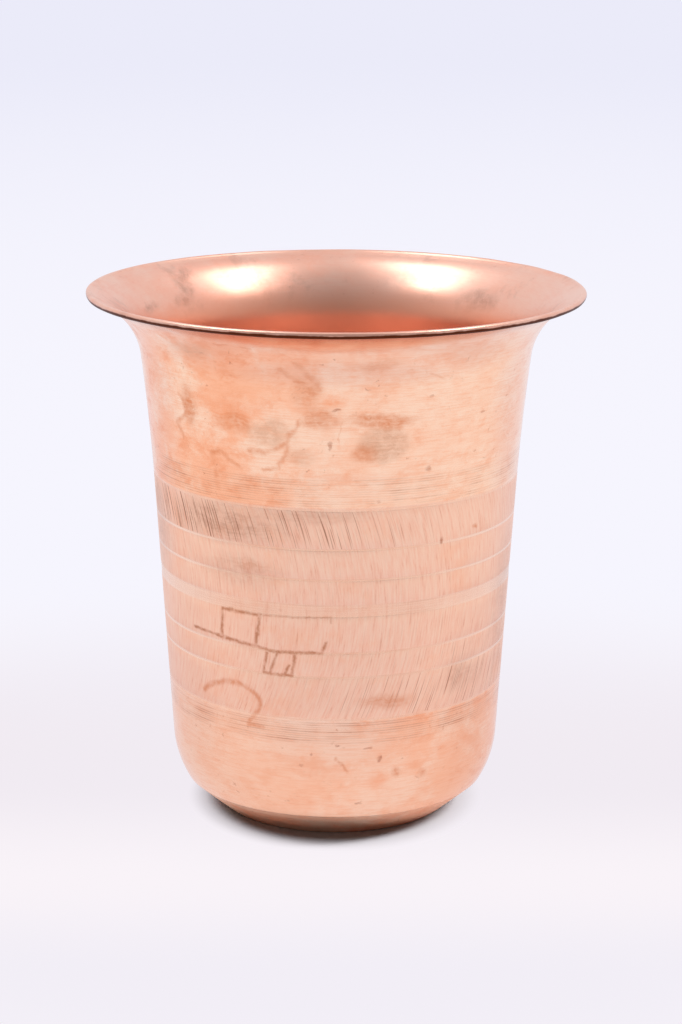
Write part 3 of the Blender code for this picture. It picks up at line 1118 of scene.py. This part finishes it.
def braze_brass():
    """The braze: dull yellow brass, with darker flux marks."""
    paint = Paint("braze_brass")
    place = paint.place()
    colour = paint.mix(paint.blots(place, FLUX), BRASS, FLUX_BROWN)
    paint.bump(paint.noise(place, *BRAZE_BUMPS), BRAZE_RELIEF)
    return paint.metal(colour, paint.blots(place, BRAZE_DULL))


# Stage

# The floor: lit paper, the darker paper that bounced light meets, and emitted colours farther out, with
# painted light just in front of the foot and in a ring round it, and painted shade beside it
FLOOR = srgb(247, 245, 250)
FLOOR_BOUNCED = srgb(104, 101, 105)
FLOOR_AROUND_PAINTED_LIGHT = srgb(255, 253, 255)
FLOOR_NEAR_PAINTED_LIGHT = srgb(249, 243, 248)
FLOOR_FRONT = srgb(242, 238, 246)
FLOOR_BESIDE_PAINTED_SHADE = srgb(241, 235, 242)
FLOOR_BEHIND = srgb(246, 245, 254)
BACKDROP = srgb(235, 235, 249)
FLOOR_SIZE = 12.0

# The lit floor near the foot goes over to plain colours between these distances from the middle
LIT_RADIUS = 0.0245
GLOW_RADIUS = 0.0325
SIDE_STRETCH = 1.12

# Where the emitted floor's colour changes, with its painted light and shade, as stretches of Y, and of the
# distance from the middle
NEAR_FOOT = (-0.085, -0.045)
BESIDE = (-0.045, 0.005)
BEHIND = (0.02, 0.16)
AROUND = (0.09, 0.24)
FAR_AWAY = (0.25, 1.8)

# The room grows brighter from the camera's side to the far side, sooner at the left and right than
# overhead. It fills the floor's shadows only a little
ROOM = srgb(252, 250, 253)
ROOM_DIM = 0.34
ROOM_BRIGHT = 1.0
ROOM_BRIGHT_FROM = 0.9
ROOM_SIDES = 0.6
ROOM_FILL = 0.012

CAMERA_AT = (1.05 * MM, -477.2 * MM, 180.55 * MM)
CAMERA_DOWN = math.radians(14.574)
CAMERA_ROLL = math.radians(0.235)
CAMERA_LENS = 90.83
CAMERA_NEAR = 10 * MM

# Lamps: each has an angle round from the front, one up, and a turn about its own axis, in degrees. The two
# softboxes are what the copper mirrors, and the two keys light the floor
Lamp = namedtuple("Lamp", "name width height power distance side up turn mirrored")
LAMPS = [
    Lamp("left_softbox", 0.80, 0.28, 3.3, 1.0, -100, 62, -24, True),
    Lamp("right_softbox", 0.76, 0.28, 3.2, 1.0, 92, 59, 30, True),
    Lamp("left_key", 0.4, 0.4, 8.0, 1.5, -95, 48, 0, False),
    Lamp("right_key", 0.4, 0.4, 21.0, 1.5, 88, 40, 0, False),
]


def make_floor():
    """A pale floor: it keeps the shadow near the object and goes over to emitted paper and backdrop colours,
    with painted light in front of and round the object and painted shade beside it.
    """
    bpy.ops.mesh.primitive_plane_add(size=FLOOR_SIZE)
    floor = bpy.context.object
    floor.name = "floor"
    paint = Paint("pale_floor")
    paint.tree.nodes.clear()
    place = paint.place()
    distance = paint.vector("LENGTH", paint.stretch(place, (SIDE_STRETCH, 1.0, 1.0)), output="Value")
    back = paint.axis(place, "Y")
    colour = paint.over(
        FLOOR_FRONT,
        (paint.span(back, *NEAR_FOOT), FLOOR_NEAR_PAINTED_LIGHT),
        (paint.span(back, *BESIDE), FLOOR_BESIDE_PAINTED_SHADE),
        (paint.span(distance, *AROUND), FLOOR_AROUND_PAINTED_LIGHT),
        (paint.span(back, *BEHIND), FLOOR_BEHIND),
        (paint.span(distance, *FAR_AWAY), BACKDROP),
    )
    ray = paint.add("ShaderNodeLightPath").outputs
    seen = paint.math("ADD", ray["Is Camera Ray"], ray["Is Glossy Ray"])
    seen = paint.math("ADD", seen, ray["Is Transmission Ray"], clamp=True)
    direct = paint.math("SUBTRACT", 1.0, ray["Diffuse Depth"], clamp=True)

    glow = paint.add("ShaderNodeEmission", Color=colour, Strength=paint.times(seen, direct))
    paper = paint.add("ShaderNodeBsdfDiffuse", Color=paint.mix(direct, FLOOR_BOUNCED, FLOOR))
    blend = paint.add("ShaderNodeMixShader", Fac=paint.span(distance, LIT_RADIUS, GLOW_RADIUS))
    paint.feed(blend.inputs[1], paper.outputs[0])
    paint.feed(blend.inputs[2], glow.outputs[0])
    paint.add("ShaderNodeOutputMaterial", Surface=blend.outputs[0])
    floor.data.materials.append(paint.material)


def make_world():
    """A pale room: bright behind the object, dim on the camera's side, and plain to the camera itself."""
    world = bpy.data.worlds.new("pale_room")
    bpy.context.scene.world = world
    world.use_nodes = True
    nodes = Nodes(world.node_tree)
    direction = nodes.add("ShaderNodeTexCoord").outputs["Generated"]
    aside = nodes.times(nodes.math("ABSOLUTE", nodes.axis(direction, "X")), ROOM_SIDES)
    back = nodes.math("ADD", nodes.axis(direction, "Y"), aside)
    room = nodes.span(back, -1.0, ROOM_BRIGHT_FROM, ROOM_DIM, ROOM_BRIGHT, smooth=False)
    ray = nodes.add("ShaderNodeLightPath").outputs
    mirrored = nodes.math("ADD", ray["Is Glossy Ray"], ray["Is Transmission Ray"], clamp=True)
    lights = nodes.times(room, nodes.span(mirrored, 0.0, 1.0, ROOM_FILL, 1.0))
    background = nodes.tree.nodes["Background"]
    nodes.feed(background.inputs["Color"], nodes.mix(ray["Is Camera Ray"], ROOM, BACKDROP))
    nodes.feed(background.inputs["Strength"], nodes.math("MAXIMUM", ray["Is Camera Ray"], lights))


def make_lamp(spec):
    """A soft lamp that looks at the mouth of the object."""
    lamp = bpy.data.lights.new(spec.name, "AREA")
    lamp.shape = "RECTANGLE"
    lamp.size = spec.width
    lamp.size_y = spec.height
    lamp.energy = spec.power
    holder = bpy.data.objects.new(spec.name, lamp)
    side, up, turn = np.radians((spec.side, spec.up, spec.turn))
    level = math.cos(up)
    towards = Vector((math.sin(side) * level, -math.cos(side) * level, math.sin(up)))
    holder.location = Vector((0, 0, HEIGHT)) + spec.distance * towards
    facing = towards.to_track_quat("Z", "Y").to_matrix()
    holder.rotation_euler = (facing @ Matrix.Rotation(turn, 3, "Z")).to_euler()
    holder.visible_glossy = spec.mirrored
    holder.visible_diffuse = not spec.mirrored
    bpy.context.collection.objects.link(holder)


def make_camera():
    """The camera at the photograph's place."""
    camera = bpy.data.cameras.new("camera")
    camera.lens = CAMERA_LENS
    camera.clip_start = CAMERA_NEAR
    holder = bpy.data.objects.new("camera", camera)
    tilt = Matrix.Rotation(math.pi / 2 - CAMERA_DOWN, 4, "X")
    roll = Matrix.Rotation(CAMERA_ROLL, 4, "Z")
    holder.matrix_world = Matrix.Translation(CAMERA_AT) @ tilt @ roll
    bpy.context.collection.objects.link(holder)
    bpy.context.scene.camera = holder


def stand_for(piece, node):
    """The piece shows instead of a solid and rides on the object's one body."""
    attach(piece, "root")
    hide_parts(node)


stand_for(make_wall(wall_copper()), "wall")
stand_for(make_pan(pan_copper()), "base_pan")
stand_for(make_bead(bead_copper()), "rim_bead")
stand_for(make_braze(braze_brass()), "braze_fillet")
make_floor()
make_world()
for lamp_spec in LAMPS:
    make_lamp(lamp_spec)
make_camera()
bpy.context.scene.view_settings.view_transform = "Standard"
